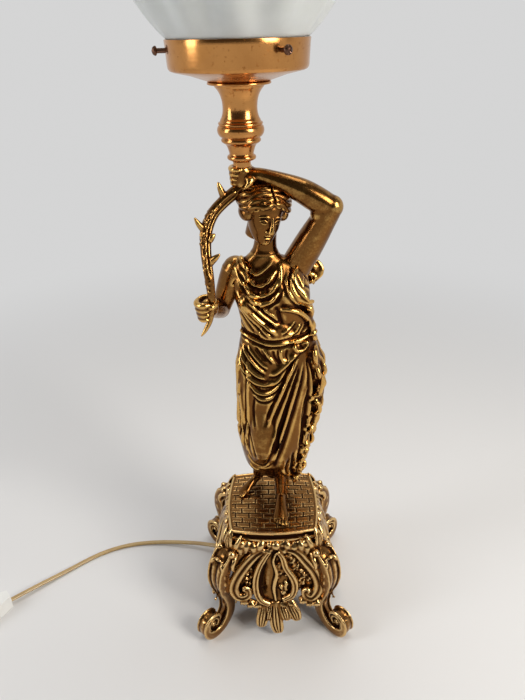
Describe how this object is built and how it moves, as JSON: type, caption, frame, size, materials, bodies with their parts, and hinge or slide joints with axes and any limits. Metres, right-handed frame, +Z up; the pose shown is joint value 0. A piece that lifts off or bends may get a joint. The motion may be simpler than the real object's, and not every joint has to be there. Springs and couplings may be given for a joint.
{
  "type": "figural table lamp",
  "caption": "Cast brass table lamp: draped standing figure on a scrolled footed base, turned stem, screw gallery and fluted opal shade, with a switched flat lead.",
  "frame": {"origin": "centre of the footed base, on the surface that the lamp stands on", "axes": "+Z up along the height; +X to the right as the figure is seen from the front; -Y towards the viewer"},
  "size_m": [0.53, 0.2657, 0.684],
  "materials": {
    "base_brass": "cast, antique gilt with dark patina in the recesses",
    "figure_brass": "cast, lacquered antique gilt, dark in the folds",
    "turned_brass": "turned and spun, polished",
    "screw_bronze": "dark bronze",
    "steel": "zinc plated",
    "opal_glass": "opal, satin, fluted",
    "bulb_glass": "opal",
    "contact_metal": "nickel on brass",
    "dark_plastic": "moulded",
    "lead_pvc": "clear gold flat twin",
    "white_plastic": "moulded"
  },
  "bodies": {
    "root": {"base_apron_back": "base_brass", "base_apron_front": "base_brass", "base_apron_left": "base_brass", "base_apron_right": "base_brass", "base_leg_back_left": "base_brass", "base_leg_back_right": "base_brass", "base_leg_front_left": "base_brass", "base_leg_front_right": "base_brass", "base_top_plate": "base_brass", "branch": "figure_brass", "cord_bushing": "dark_plastic", "figure_body": "figure_brass", "figure_head": "figure_brass", "figure_lowered_arm": "figure_brass", "figure_mantle_end": "figure_brass", "figure_raised_arm": "figure_brass", "flex": "lead_pvc", "flex_coil": "lead_pvc", "gallery": "turned_brass", "gallery_locknut": "steel", "inner_lead": "lead_pvc", "lampholder_cap": "dark_plastic", "lampholder_contact": "contact_metal", "lampholder_insert": "dark_plastic", "lampholder_shell": "contact_metal", "lampholder_sleeve": "dark_plastic", "plinth": "base_brass", "plug_body": "white_plastic", "plug_pins": "contact_metal", "stem_collar": "turned_brass", "stem_flange": "turned_brass", "stem_knop": "turned_brass", "stem_trumpet": "turned_brass", "stem_tube": "turned_brass", "switch_contacts": "contact_metal", "switch_lower_shell": "white_plastic", "switch_screws": "steel", "switch_upper_shell": "white_plastic", "tie_nut": "steel", "tie_rod": "steel", "tie_washer": "steel"},
    "glass_shade": {"glass_shade": "opal_glass"},
    "bulb": {"bulb_cap": "contact_metal", "bulb_contact": "contact_metal", "bulb_glass": "bulb_glass"},
    "switch_rocker": {"switch_rocker": "white_plastic"},
    "gallery_screw_left": {"gallery_screw_left": "screw_bronze"},
    "gallery_screw_front": {"gallery_screw_front": "screw_bronze"},
    "gallery_screw_back": {"gallery_screw_back": "screw_bronze"}
  },
  "joints": [
    {"name": "screw_left_travel", "type": "slide", "parent": "root", "child": "gallery_screw_left", "axis": [-0.9962, -0.0872, 0], "range_m": [0, 0.003]},
    {"name": "screw_front_travel", "type": "slide", "parent": "root", "child": "gallery_screw_front", "axis": [0.5736, -0.8192, 0], "range_m": [0, 0.003]},
    {"name": "screw_back_travel", "type": "slide", "parent": "root", "child": "gallery_screw_back", "axis": [0.4226, 0.9063, 0], "range_m": [0, 0.003]},
    {"name": "shade_lift", "type": "slide", "parent": "root", "child": "glass_shade", "axis": [0, 0, 1], "range_m": [0, 0.13]},
    {"name": "bulb_unscrew", "type": "slide", "parent": "root", "child": "bulb", "axis": [0, 0, 1], "range_m": [0, 0.018]},
    {"name": "switch_rock", "type": "hinge", "parent": "root", "child": "switch_rocker", "pos_m": [-0.31394, -0.04524, 0.0125], "axis": [0.6637, -0.748, 0], "range_deg": [-14, 0]}
  ]
}
